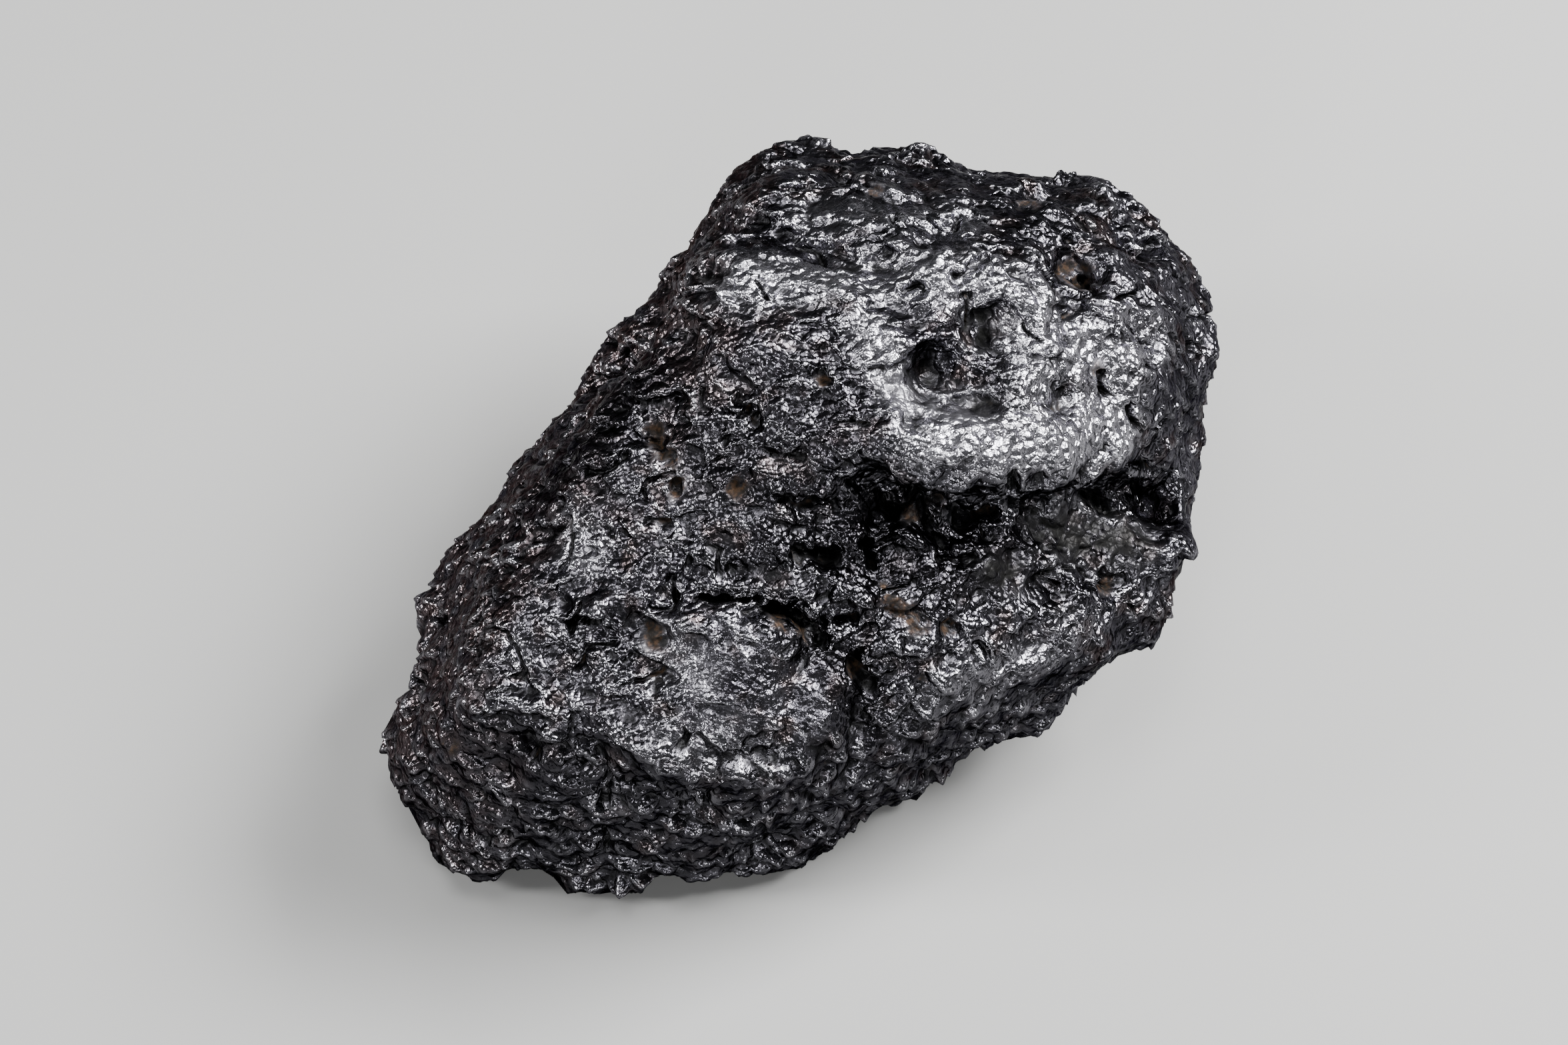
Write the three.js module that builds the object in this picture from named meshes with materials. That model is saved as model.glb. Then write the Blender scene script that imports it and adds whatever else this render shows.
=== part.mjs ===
// An iron meteorite: one lump of solid nickel-iron, about a hand's span long, lying on its
// broad back with its scooped face turned up.
//
// The lump is carved the way a sculptor would rough it out. Convex blocks with rounded edges
// (the head, the neck, the body with its heel, and the back that the stone lies on) melt into
// one mass. Thumbprint hollows, grooves, pits and knobs are then pressed into or raised from
// that mass, and a little noise breaks up what is left of the flats. An icosahedron sphere is
// wrapped on to the result, which gives one closed solid of even triangles.
//
// Units are millimetres. The resting frame has +Z up and +X along the stone's length.
import * as THREE from "three";
import { ConvexGeometry } from "three/addons/geometries/ConvexGeometry.js";
import { ImprovedNoise } from "three/addons/math/ImprovedNoise.js";
import { mergeVertices } from "three/addons/utils/BufferGeometryUtils.js";

// ---------------------------------------------------------------- driving dimensions

const LENGTH = 140; // toe to crown, along the longest way
const WIDTH = 92;
const THICKNESS = 78;
const REST_LEVEL = -34; // height of the worn flat it lies on, below the core

const SHARP = 0.9; // rounding of the blocks' edges: crisp, plain and well worn
const PLAIN = 1.4;
const WORN = 2.2;
const WELD = 2.4; // how wide the fillet is where two blocks meet

const SPHERE_DETAIL = 21; // 20 * (detail + 1)^2 triangles
const WRAP_PASSES = 14;

// ---------------------------------------------------------------- the two frames

// The face is modelled as someone who looks straight at it sees it: right, up, and out
// towards the viewer. Lying on its back, the stone is tipped away from that viewer and turned
// so that its length runs along X.
const TIP_BACK = THREE.MathUtils.degToRad(28);
const TURN = THREE.MathUtils.degToRad(-34);
const LENGTH_ON_FACE = THREE.MathUtils.degToRad(31); // how its length slopes on that face
const toRest = new THREE.Matrix4()
  .makeRotationZ(TURN)
  .multiply(new THREE.Matrix4().makeRotationX(TIP_BACK));

const face = (right, up, out) => new THREE.Vector3(right, up, out).applyMatrix4(toRest);
const laid = (along, across, height) => new THREE.Vector3(along, across, height);

// ---------------------------------------------------------------- blocks

// The signed distance to a convex block with these corners and this much rounding.
function block(edge, corners) {
  const hull = new ConvexGeometry(corners).getAttribute("position");
  const sides = [];
  for (let i = 0; i < hull.count; i += 3) {
    const [a, b, c] = [0, 1, 2].map((k) => new THREE.Vector3().fromBufferAttribute(hull, i + k));
    const side = new THREE.Plane().setFromCoplanarPoints(a, b, c);
    const known = sides.some(
      (s) => s.normal.dot(side.normal) > 0.9995 && Math.abs(s.constant - side.constant) < 0.05,
    );
    if (!known) sides.push(side);
  }
  return (p) =>
    edge * Math.log(sides.reduce((sum, s) => sum + Math.exp(s.distanceToPoint(p) / edge), 0));
}

// The stone's outline as the viewer sees it, in four runs that follow one another clockwise.
const crown = [
  face(-14.5, 44.5, 8),
  face(-6, 59, -2),
  face(3, 59, -5),
  face(19, 59.5, -5),
  face(30, 50, -5),
  face(41, 51.5, -5),
  face(50.5, 54.5, -5),
  face(62.5, 38.5, -5),
  face(66, 30.5, -6),
  face(65.5, 21.5, -6),
  face(62.5, 12, -6),
];
const flank = [
  face(65.5, 5, -2),
  face(68, -4, -1),
  face(66, -11.5, -2),
  face(56.5, -18, -3),
  face(51, -26.5, -1),
  face(34.5, -28, 2),
  face(22.5, -35.5, -2),
];
const toe = [
  face(3, -52.5, -10),
  face(-9, -55.5, -5),
  face(-27, -53, -5),
  face(-53, -56, -8),
  face(-60, -50, -9),
  face(-67.5, -40.5, -8),
  face(-66, -33.5, -7),
  face(-60.5, -10, -9),
];
const waist = [
  face(-49.5, -1, -12),
  face(-36.5, 6, -13),
  face(-25, 17.5, -14),
  face(-18, 29.5, -13),
  face(-15.5, 36, -12),
];

const head = block(PLAIN, [
  // brow, from its right end over its nose to the upper left corner
  face(51.5, 11, 19),
  face(42, 8, 29),
  face(31, 7, 35),
  face(22, 7.5, 38),
  face(13, 10, 39.5),
  face(4, 14, 39.5),
  face(-4, 21, 38),
  face(-13, 29, 34),
  face(-15.5, 38, 28),
  // its steep underside
  face(47, 0, 11),
  face(36, -1, 17),
  face(24, -1, 22),
  face(12, 2, 28),
  // crest, where the forehead turns over into the crown
  face(-9, 43, 25),
  face(5, 40, 31),
  face(24, 38, 31),
  face(37, 35, 28.5),
  face(51, 30, 19.5),
  // crown's shoulder
  face(-4, 51, 15),
  face(8, 52, 15),
  face(24, 48, 19),
  face(42, 46, 14),
  face(57, 33, 12),
  face(59, 20, 11),
  face(57, 12, 10),
  ...crown,
  // behind and below, buried in the body
  face(-18, 38, -10),
  face(0, 2, 10),
  face(30, 0, 10),
  face(52, 2, -4),
  laid(44, 34, -10),
  laid(20, 40, -10),
  laid(56, 0, -10),
]);

// Fills the waist on the left, where the brow slopes down into the body with no valley.
const neck = block(WORN, [
  face(-16.5, 38, 22),
  face(-19.5, 30, 28),
  face(-12, 31, 33),
  face(0, 22, 38.5),
  face(11, 11, 39),
  face(12, 2, 27),
  face(-24, 16, 30),
  face(-31, 3, 31),
  face(-25, -6, 33),
  face(-9, -4, 31),
  face(4, -2, 28),
  ...waist,
  face(0, 0, 0),
]);

const body = block(PLAIN, [
  // left edge, from the shoulder under the head down to the toe
  face(-22, 21, 26),
  face(-31.5, 3, 31),
  face(-39.5, -6, 32),
  face(-46.5, -15, 31.5),
  face(-48.5, -26, 31.5),
  // shin, the edge over the steep front
  face(-39.5, -27, 34),
  face(-30, -28.5, 35),
  face(-23, -32.5, 35.5),
  face(-11, -37, 34),
  face(2, -38.5, 29),
  face(23, -35.5, 13),
  // belly
  face(-24, -7, 33),
  face(-9, -12, 36),
  face(6, -16, 33),
  // the floor under the brow
  face(12, -1, 29),
  face(24, -1, 26),
  face(36, -1, 20.5),
  face(47, -1, 14),
  // the swell below that floor
  face(20, -15, 29),
  face(33, -14, 24.5),
  face(45, -12, 18.5),
  face(57, -6.5, 9),
  // the right hem, where the body drops away
  face(46.5, -17, 14.5),
  face(36, -24, 20.5),
  face(25, -29, 23),
  face(24, 6, 20),
  face(46, 6, 8),
  ...flank,
  ...toe,
  ...waist,
  face(-5, 20, 12),
]);

// A lower lobe that shows past the body's right hem.
const heel = block(SHARP, [
  face(24, -36, -6),
  face(19, -40, -12),
  face(10.5, -39.5, -14),
  face(5, -48, -16),
  face(-2, -54, -18),
  face(-10, -50, -20),
  face(0, -30, -20),
  face(30, -28, -16),
  face(8, -40, -6),
]);

// Two torn flakes that hang from the hem.
const flake = block(SHARP, [
  face(-21.5, -50, -3),
  face(-37, -52, -3),
  face(-27.5, -64, -6),
  face(-32, -60, -6),
  face(-28, -46, 4),
  face(-28, -48, -14),
]);
const splinter = block(SHARP, [
  face(-42, -50, -5),
  face(-55.5, -49, -8),
  face(-53, -61, -9),
  face(-47, -59.5, -9),
  face(-50, -46, 4),
  face(-50, -46, -17),
]);

// What the stone lies on, and everything that the face hides. It reaches the outline a little
// way in and a little way back.
const viewer = face(0, 0, 1);
const behind = (p) => p.clone().multiplyScalar(0.97).addScaledVector(viewer, -1.5);
const back = block(WORN, [
  laid(-46, -4, -36),
  laid(-36, -20, -36),
  laid(-14, -28, -36),
  laid(14, -26, -36),
  laid(34, -14, -36),
  laid(38, 4, -36),
  laid(24, 20, -36),
  laid(0, 24, -36),
  laid(-28, 18, -36),
  laid(-60, -6, -27),
  laid(-48, -24, -28),
  laid(-10, -36, -25),
  laid(26, -36, -24),
  laid(50, -22, -24),
  laid(56, 6, -24),
  laid(38, 30, -24),
  laid(4, 36, -24),
  laid(-34, 28, -26),
  laid(-57, 16, -24),
  ...crown.map(behind),
  ...flank.map(behind),
  ...toe.map(behind),
  ...waist.map(behind),
]);

// The plain mass before anything is pressed into it: a smooth minimum of the blocks.
const blocks = [head, neck, body, heel, flake, splinter, back];
const mass = (p) =>
  -WELD * Math.log(blocks.reduce((sum, b) => sum + Math.exp(-b(p) / WELD), 0));

// ---------------------------------------------------------------- marks on the surface

// The point where a straight line from far outside first meets the mass.
function meet(outside, target) {
  const inward = target.clone().sub(outside);
  const reach = inward.length();
  inward.normalize();
  const p = outside.clone();
  for (let gone = 0; gone < 2 * reach; ) {
    const gap = mass(p);
    if (gap < 0.02) break;
    const step = Math.max(gap * 0.8, 0.02);
    p.addScaledVector(inward, step);
    gone += step;
  }
  return p;
}
// A spot on the face is found by looking straight at it. One on the rim is found from the side.
const onFace = (right, up) => meet(face(right, up, LENGTH), face(right, up, 0));
const onRim = (right, up, out) => meet(face(2 * right, 2 * up, out), face(0, 0, out));

const ease = (t) => t * t * (3 - 2 * t);
// 1 at the middle of a mark and 0 at its rim. A soft mark is a bowl, a crisp one has a
// flat floor and a steep wall.
const bowl = (t) => (t < 1 ? (1 - t * t) ** 2 : 0);
const crisp = (t) => (t < 1 ? ease(Math.min(1, (1 - t) * 2.5)) : 0);

const segment = new THREE.Line3();
const nearest = new THREE.Vector3();
function distanceToPath(p, path) {
  if (path.length === 1) return p.distanceTo(path[0]);
  let least = Infinity;
  for (let i = 0; i + 1 < path.length; i++) {
    segment.set(path[i], path[i + 1]).closestPointToPoint(p, true, nearest);
    least = Math.min(least, p.distanceTo(nearest));
  }
  return least;
}

// A mark follows a path of points on the face. Depth is positive into the stone.
const mark = (depth, radius, path, shape = bowl) => ({ depth, radius, path, shape });
const spots = (points) => points.map(([right, up]) => onFace(right, up));

const hollow = (depth, radius, ...points) => mark(depth, radius, spots(points));
const pit = (depth, radius, ...points) => mark(depth, radius, spots(points), crisp);
const knob = (height, radius, ...points) => mark(-height, radius, spots(points));
const spike = (height, radius, ...rim) => mark(-height, radius, [onRim(...rim)]);
const notch = (depth, radius, ...rim) => mark(depth, radius, [onRim(...rim)]);

const faceMarks = [
  // the valley under the brow, with a slot at its right end and caves at its left
  hollow(2, 5, [42, 1.5], [30, 0], [18, 0]),
  pit(7, 3.5, [54, 3.5], [48, 3], [43, 2]),
  pit(6, 5, [4, -2], [0, -2]),
  pit(4, 3.5, [10, 0]),
  pit(3, 3.5, [20, 0.5]),
  knob(3, 4, [16, -1]),
  // head
  pit(3.5, 6.5, [40.5, 36]),
  hollow(4, 8, [28, 26], [21, 20]),
  hollow(1.2, 4, [38.5, 17]),
  hollow(2.5, 4.5, [-13.5, 36.5]),
  hollow(2.8, 6, [-13, 42], [0, 41], [9, 38], [13, 35]),
  hollow(2, 5, [10.8, 46]),
  hollow(2, 5, [20, 43]),
  knob(2.2, 7, [20, 36], [33, 33]),
  knob(2, 7, [12, 12.5], [28, 10], [40, 12]),
  // crown
  knob(2, 4, [44, 48]),
  hollow(2, 4, [50, 46]),
  // body
  hollow(3.5, 8.5, [43.5, -4]),
  hollow(2, 5.5, [32, -8]),
  pit(2.5, 3.5, [47.5, -8.5]),
  pit(3, 3.2, [-18, -10], [-10, -9], [-4, -10], [2, -13], [6.5, -16.5]),
  knob(2, 5, [-14, -4], [-3, -5], [6, -10]),
  knob(2.5, 13, [-9.5, -21]),
  hollow(3, 5, [8.5, -16], [9, -24.5], [10, -27], [8.5, -34]),
  hollow(1.5, 6, [-23.5, -16]),
  pit(4, 4.5, [-21.5, 12.5]),
  pit(3, 3.5, [-18.7, 5]),
  hollow(2.5, 4, [-28.5, -1], [-26, -7]),
];

const rimMarks = [
  spike(1.5, 7, 2.5, 58, -3),
  notch(3, 6, 10, 56, -3),
  spike(1.5, 5, 18, 58, -4),
  notch(1.5, 5, 51.5, 46.5, -4),
  notch(2.5, 6, 60, 14, -3),
  spike(2, 5, 61, 5, -3),
  spike(2, 4, 59, -8.6, -2),
  notch(2.5, 8, 33, -32, 0),
  notch(5, 7, -41, -54, -6),
  notch(4.5, 6, -19, -53, -6),
  spike(2, 5, -51, -55.5, -8),
  notch(7, 9, -62, -24, -8),
  notch(4, 11, -30.5, 22, -12),
  notch(4, 12, 31, 54, -5),
];

// ---------------------------------------------------------------- the hidden sides

// Thumbprints scattered over the flanks and the back. They follow a sunflower spiral, so no
// two fall on the same spot, and swell and shrink in turn so that no two are quite alike.
const PRINTS = 90;
const PRINT_RADIUS = [7, 12];
const PRINT_DEPTH = [1.5, 3.5];
const GOLDEN_TURN = Math.PI * (3 - Math.sqrt(5));
const core = new THREE.Vector3();

function thumbprints() {
  const prints = [];
  for (let i = 0; i < PRINTS; i++) {
    const height = 1 - (2 * (i + 0.5)) / PRINTS;
    const way = new THREE.Vector3().setFromCylindricalCoords(
      Math.sqrt(1 - height * height),
      i * GOLDEN_TURN,
      height,
    );
    const onHiddenSide = way.dot(viewer) < 0.05;
    const onRestFlat = way.z < -0.8;
    if (!onHiddenSide || onRestFlat) continue;
    const spot = meet(way.clone().setLength(LENGTH), core);
    const size = 0.5 + 0.5 * Math.sin(i * 2.4);
    const press = 0.5 + 0.5 * Math.sin(i * 1.7 + 1);
    prints.push(
      mark(
        THREE.MathUtils.lerp(...PRINT_DEPTH, press),
        THREE.MathUtils.lerp(...PRINT_RADIUS, size),
        [spot],
      ),
    );
  }
  return prints;
}

// ---------------------------------------------------------------- the stone

const noise = new ImprovedNoise();
const grain = (p, size) => noise.noise(p.x / size + 7.3, p.y / size + 1.9, p.z / size + 4.1);
// Swells a couple of centimetres long, and lumps of a centimetre with a crease between them.
const SWELL = 2;
const LUMP = 2.6;
const rough = (p) => SWELL * grain(p, 19) + LUMP * (0.25 - Math.abs(grain(p, 11)));

const marks = [...faceMarks, ...rimMarks, ...thumbprints()];

function stone(p) {
  let level = mass(p) + rough(p);
  for (const m of marks) level += m.depth * m.shape(distanceToPath(p, m.path) / m.radius);
  return level;
}

// ---------------------------------------------------------------- wrapping the sphere

const STEP = 0.05;
const nearby = new THREE.Vector3();
function uphill(p, out) {
  const at = stone(p);
  out.set(
    stone(nearby.copy(p).setX(p.x + STEP)) - at,
    stone(nearby.copy(p).setY(p.y + STEP)) - at,
    stone(nearby.copy(p).setZ(p.z + STEP)) - at,
  );
  out.divideScalar(STEP);
  return at;
}

function wrap() {
  const ball = new THREE.IcosahedronGeometry(1, SPHERE_DETAIL);
  ball.deleteAttribute("normal");
  ball.deleteAttribute("uv");
  const skin = mergeVertices(ball, 1e-4);
  skin.scale(LENGTH / 2, WIDTH / 2, THICKNESS / 2).rotateZ(LENGTH_ON_FACE).applyMatrix4(toRest);

  const place = skin.getAttribute("position");
  const corners = skin.getIndex().array;
  const points = Array.from({ length: place.count }, (_, i) =>
    new THREE.Vector3().fromBufferAttribute(place, i),
  );
  for (const p of points) p.copy(meet(p.clone().setLength(LENGTH), core));

  const around = points.map(() => new Set());
  for (let i = 0; i < corners.length; i += 3) {
    const [a, b, c] = corners.slice(i, i + 3);
    around[a].add(b).add(c);
    around[b].add(a).add(c);
    around[c].add(a).add(b);
  }
  const towardsNeighbours = (p, i, share) => {
    const middle = new THREE.Vector3();
    for (const j of around[i]) middle.add(points[j]);
    return middle.divideScalar(around[i].size).lerp(p, 1 - share);
  };

  const slope = new THREE.Vector3();
  for (let pass = 0; pass < WRAP_PASSES; pass++) {
    const relaxed = points.map((p, i) => towardsNeighbours(p, i, 0.5));
    relaxed.forEach((p, i) => {
      for (let n = 0; n < 3; n++) {
        const at = uphill(p, slope);
        p.addScaledVector(slope, -at / Math.max(slope.lengthSq(), 0.25));
      }
      points[i].copy(p);
    });
  }
  const softened = points.map((p, i) => towardsNeighbours(p, i, 0.25));

  softened.forEach((p, i) => place.setXYZ(i, p.x, p.y, Math.max(p.z, REST_LEVEL)));
  skin.computeBoundingBox();
  const { min, max } = skin.boundingBox;
  skin.translate(-(min.x + max.x) / 2, -(min.y + max.y) / 2, -REST_LEVEL);
  skin.computeVertexNormals();
  return skin;
}

const iron = new THREE.MeshStandardMaterial({ color: 0x2b2b2e, metalness: 1, roughness: 0.42 });
const meteorite = new THREE.Mesh(wrap(), iron);
meteorite.name = "meteorite";

const part = new THREE.Group();
part.add(meteorite);
export default part;
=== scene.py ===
# %% [markdown]
# # An iron meteorite
#
# The object is one lump of nickel-iron that fills a hand: a head with an overhanging brow, a body
# scooped under it, and a ragged toe. Its shape at arm's length comes from the packed solid. This
# notebook gives it what shows from nearer: a skin of plates, drops and beads, crevices, torn pits,
# the glint of bare metal, and rust in the hollows.
#
# The solid is loaded first and never changed. Blender counts in metres and the stone is better
# told in millimetres, so a millimetre has a name here.

# %% Load the solid
import math

import bpy
import numpy as np
from mathutils import Matrix, Vector


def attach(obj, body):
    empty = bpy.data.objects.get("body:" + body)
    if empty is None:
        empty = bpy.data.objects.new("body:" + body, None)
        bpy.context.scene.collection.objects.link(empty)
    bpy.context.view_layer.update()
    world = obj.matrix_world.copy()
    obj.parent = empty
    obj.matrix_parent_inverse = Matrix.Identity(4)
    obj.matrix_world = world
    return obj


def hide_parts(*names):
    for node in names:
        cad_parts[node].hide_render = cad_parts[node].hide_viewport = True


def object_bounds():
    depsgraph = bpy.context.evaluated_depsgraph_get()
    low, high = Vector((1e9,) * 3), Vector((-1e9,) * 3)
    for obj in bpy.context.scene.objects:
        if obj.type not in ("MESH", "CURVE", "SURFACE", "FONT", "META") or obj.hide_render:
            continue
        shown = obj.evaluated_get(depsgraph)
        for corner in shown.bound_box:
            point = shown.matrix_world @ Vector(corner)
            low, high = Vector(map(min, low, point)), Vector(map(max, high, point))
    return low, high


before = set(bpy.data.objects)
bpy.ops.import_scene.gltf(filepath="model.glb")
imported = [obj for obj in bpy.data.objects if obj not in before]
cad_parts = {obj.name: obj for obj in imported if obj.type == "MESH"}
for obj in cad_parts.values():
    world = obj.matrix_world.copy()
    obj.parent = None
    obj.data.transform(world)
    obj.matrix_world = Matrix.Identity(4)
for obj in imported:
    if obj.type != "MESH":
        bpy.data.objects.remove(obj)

MM = 0.001
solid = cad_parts["meteorite"]
solid_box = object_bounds()
print("solid:", len(solid.data.polygons), "faces; box", np.round(solid_box, 4).tolist())

# %% [markdown]
# ## Looking straight at its face
#
# The stone lies on its back, so its face looks up and a little forward. Most of what follows is
# easier to say as a person who looks straight at that face would say it: so far to the right, so
# far up, so far out towards the eye. These three directions are turned into the resting frame
# once, and every mark and mask after this uses them.

# %% The directions of the face
TIP = math.radians(28)  # how far the face looks forward from straight up
TURN = math.radians(-34)  # and how far it is then turned round the upright axis
to_rest = np.array(Matrix.Rotation(TURN, 3, "Z") @ Matrix.Rotation(TIP, 3, "X"))
RIGHT, UP, OUT = to_rest.T
CORE = np.array([-0.1, -0.5, 34]) * MM  # the middle of the stone, which the eye looks at
EYE = 555  # millimetres from the middle to the eye


def on_face(points):
    """Points of the resting frame as right, up and out, in millimetres."""
    return (points - CORE) @ to_rest / MM


print("the face looks along", np.round(OUT, 2))

# %% [markdown]
# ## A smooth skin
#
# The solid has flat facets a few millimetres wide. Blender's Subdivision Surface would smooth
# them, but it makes quads of the triangles, and those carve less evenly. Loop's rule is made for
# triangles: it splits each one into four and rounds the corners as it goes. Three rounds of it
# give facets under half a millimetre wide, fine enough to carve. They are far more than the stone
# may keep, so most of them go again once the carving is done.

# %% Corners, triangles and edges


def welded(mesh):
    """The corners and triangles of a mesh, with doubled corners joined."""
    corners = np.empty(len(mesh.vertices) * 3)
    mesh.vertices.foreach_get("co", corners)
    mesh.calc_loop_triangles()
    found = np.empty(len(mesh.loop_triangles) * 3, dtype=np.int64)
    mesh.loop_triangles.foreach_get("vertices", found)
    corners = corners.reshape(-1, 3)
    rounded = np.round(corners / MM, 3)
    _, first, which = np.unique(rounded, axis=0, return_index=True, return_inverse=True)
    return corners[first], which.reshape(-1)[found].reshape(-1, 3)


def edges_of(found):
    """Each edge once, and for the three sides of each triangle the number of their edge."""
    ends = np.sort(np.stack([found, np.roll(found, -1, axis=1)], axis=2), axis=2).reshape(-1, 2)
    key = ends[:, 0] << 32 | ends[:, 1]
    _, first, which = np.unique(key, return_index=True, return_inverse=True)
    return ends[first], which.reshape(-1, 3)


points, triangles = welded(solid.data)
print("solid:", len(points), "corners,", len(triangles), "triangles")

# %% [markdown]
# A new point goes on each edge, drawn a little towards the two corners across it. Each old point is
# eased towards its neighbours. That is the whole rule.

# %% Split and round the triangles
ROUNDS = 3


def gathered(values, onto, count):
    """Adds up rows of values by the number that each belongs to."""
    return np.stack([np.bincount(onto, v, count) for v in values.T], axis=1)


def loop_round(points, found):
    """One round of Loop subdivision."""
    edges, side = edges_of(found)
    far = gathered(points[np.roll(found, -2, axis=1).reshape(-1)], side.reshape(-1), len(edges))
    middles = 3 / 8 * points[edges].sum(axis=1) + 1 / 8 * far
    ends = edges.reshape(-1)
    count = np.bincount(ends, minlength=len(points))[:, None]
    near = gathered(points[edges[:, ::-1].reshape(-1)], ends, len(points))
    share = np.where(count == 3, 3 / 16, 3 / (8 * count))
    kept = points * (1 - count * share) + near * share
    a, b, c = found.T
    ab, bc, ca = (side + len(points)).T
    quarters = [(a, ab, ca), (ab, b, bc), (ca, bc, c), (ab, bc, ca)]
    return np.concatenate([kept, middles]), np.concatenate([np.stack(q, axis=1) for q in quarters])


for _ in range(ROUNDS):
    points, triangles = loop_round(points, triangles)
print("skin:", len(points), "points,", len(triangles), "triangles")

# %% [markdown]
# Carving needs to know which way is out at every point, and how the surface would be with its
# detail blurred away. Both come from the triangles and their edges.

# %% Normals and blurring
skin_edges = edges_of(triangles)[0]
neighbours = np.bincount(skin_edges.reshape(-1), minlength=len(points))


def normals_of(points):
    """The way straight out of the skin at every point."""
    a, b, c = (points[triangles[:, k]] for k in range(3))
    flat = np.cross(b - a, c - a)
    total = sum(gathered(flat, triangles[:, k], len(points)) for k in range(3))
    return total / np.linalg.norm(total, axis=1, keepdims=True)


def blurred(values, passes):
    """Values at the points, averaged with their neighbours' so many times."""
    one, other = skin_edges.T
    count = len(values)
    for _ in range(passes):
        total = np.bincount(one, values[other], count) + np.bincount(other, values[one], count)
        values = 0.5 * values + 0.5 * total / neighbours
    return values


CALM = 50  # passes of blurring, after which the normals forget edges under about 2 mm

place = on_face(points)
normals = normals_of(points)
normals = np.stack([blurred(way, CALM) for way in normals.T], axis=1)
normals /= np.linalg.norm(normals, axis=1, keepdims=True)
facing = normals @ OUT
print("share of the skin that faces the eye:", round(float((facing > 0).mean()), 2))

# %% [markdown]
# ## Noise to carve with
#
# Two patterns do most of the work. Smooth noise swells and sinks without a repeat. Cells split
# space round scattered seeds: their middles make beads and dents, and their borders make cliffs
# between plates. Blender has both as textures, but carving needs their values at the skin's
# points, so they are written out here over whole arrays. Each use has a shift of its own, so that
# no two patterns fall on top of each other.
#
# Smooth noise has a slope at each corner of a grid, and blends the eight slopes round a place.

# %% Smooth noise
draw = np.random.default_rng(11)
SHUFFLE = draw.permutation(256)
SLOPES = draw.normal(size=(256, 3))
SLOPES /= np.linalg.norm(SLOPES, axis=1, keepdims=True)
SEEDS = draw.random((256, 3))
CUBE = [(i, j, k) for i in (0, 1) for j in (0, 1) for k in (0, 1)]
SPREAD = 1.7  # brings the noise to between about -1 and 1


def label_of(cell):
    """One number from 0 to 255 for each cell of a grid."""
    x, y, z = (cell & 255).T
    return SHUFFLE[(SHUFFLE[(SHUFFLE[x] + y) & 255] + z) & 255]


def noise(where, size, shift=0.0):
    """Smooth noise between about -1 and 1, with lumps about this many millimetres across."""
    at = where / size + shift
    cell = np.floor(at).astype(np.int64)
    part = at - cell
    ease = part**3 * (part * (part * 6 - 15) + 10)
    total = np.zeros(len(at))
    for corner in CUBE:
        weight = np.ones(len(at))
        for axis in range(3):
            weight *= ease[:, axis] if corner[axis] else 1 - ease[:, axis]
        total += weight * ((part - corner) * SLOPES[label_of(cell + corner)]).sum(axis=1)
    return SPREAD * total


print("noise spreads", round(float(noise(place, 5).std()), 2))

# %% [markdown]
# Cells have one seed in each box of a grid. The nearest seed to a place is in its own box or in one
# of the boxes around. Masks need one more helper: a smooth step between two values.

# %% Cells and smooth steps
AROUND = [(i, j, k) for i in (-1, 0, 1) for j in (-1, 0, 1) for k in (-1, 0, 1)]
FAR_OFF = 9.0  # in boxes, further than any nearest seed


def cells(where, size, shift=0.0):
    """Distances to the nearest and next seed, the way from the nearest, and that seed's number."""
    at = where / size + shift
    home = np.floor(at).astype(np.int64)
    nearest = np.full(len(at), FAR_OFF)
    second = np.full(len(at), FAR_OFF)
    name = np.zeros(len(at), dtype=np.int64)
    way = np.zeros_like(at)
    for step in AROUND:
        cell = home + step
        label = label_of(cell)
        reach = at - cell - SEEDS[label]
        gap = np.sqrt((reach * reach).sum(axis=1))
        closer = gap < nearest
        second = np.where(closer, nearest, np.minimum(second, gap))
        name[closer] = label[closer]
        way[closer] = reach[closer]
        nearest = np.where(closer, gap, nearest)
    return nearest, second, way, name


def between(low, high, value):
    """0 up to low, 1 from high on, and a smooth rise between; low may be the larger of the two."""
    t = np.clip((value - low) / (high - low), 0, 1)
    return t * t * (3 - 2 * t)


print("seeds are drawn in", len(SEEDS), "different places of a box")

# %% [markdown]
# ## Marks that a person would point at
#
# Some features are the stone's own, and no noise would put them in the right place: the slot under
# the brow, a seam, a rusty hollow. Each is a short path over the face, given where the eye sees
# it. A path's stops are dropped on to the skin from the eye, and what lies near the line between
# them is pressed in or raised.

# %% Paths over the face
seen = place[:, :2] / (1 - place[:, 2:] / EYE)  # right and up as the eye sees them
BESIDE = 0.9  # millimetres; a point no further aside than this is seen at a spot


def landed(right, up):
    """The skin's point that the eye sees at this spot of the face."""
    aside = np.hypot(seen[:, 0] - right, seen[:, 1] - up)
    near = np.flatnonzero(aside < BESIDE)
    if len(near) == 0:
        near = np.array([np.argmin(aside)])
    return place[near[np.argmax(place[near, 2])]]


def gap_to(path):
    """How far each point of the skin is from a path, in millimetres."""
    stops = [landed(*stop) for stop in path]
    least = np.linalg.norm(place - stops[0], axis=1)
    for start, end in zip(stops, stops[1:]):
        along = end - start
        t = np.clip((place - start) @ along / (along @ along), 0, 1)
        least = np.minimum(least, np.linalg.norm(place - start - t[:, None] * along, axis=1))
    return least


print("straight ahead the eye sees the skin at", np.round(landed(0, 0), 1))

# %% [markdown]
# Every mark is one of two forms along its path: a soft bowl, or a cut with a torn edge. Four tools
# use them. Pressing and denting take height away, lifting adds it, and an overhang lets the skin
# sag down the face.

# %% Tools to carve with
wobble = 0.9 * noise(place, 3.3, 5.2) + 0.7 * noise(place, 1.5, 8.2)


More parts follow.
